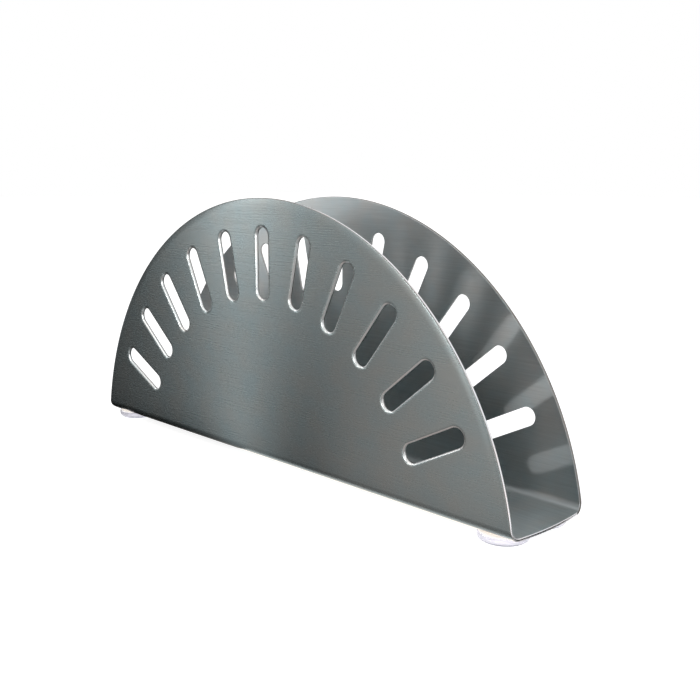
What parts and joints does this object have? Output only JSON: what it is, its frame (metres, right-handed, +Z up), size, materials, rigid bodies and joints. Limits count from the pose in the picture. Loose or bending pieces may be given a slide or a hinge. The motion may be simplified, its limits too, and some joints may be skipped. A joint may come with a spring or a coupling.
{
  "type": "napkin holder",
  "caption": "Brushed steel disc with radial slots, folded into two half-round panels with a trough between them for paper napkins, on clear stick-on feet.",
  "frame": {"origin": "on the table plane, under the middle of the floor between the panels", "axes": "+X along the panels, to the right seen from the front; +Y from the front panel to the back panel; +Z up"},
  "size_m": [0.156, 0.0262, 0.0688],
  "materials": {
    "brushed_steel": "satin stainless sheet with a fine level brush grain on the outside",
    "clear_bumper": "clear soft polyurethane, glossy, soft edge",
    "adhesive_film": "milky adhesive film"
  },
  "bodies": {
    "root": {"folded_sheet": "brushed_steel", "foot_front_left": "clear_bumper", "foot_front_right": "clear_bumper", "foot_back_left": "clear_bumper", "foot_back_right": "clear_bumper", "film_front_left": "adhesive_film", "film_front_right": "adhesive_film", "film_back_left": "adhesive_film", "film_back_right": "adhesive_film"}
  },
  "joints": []
}
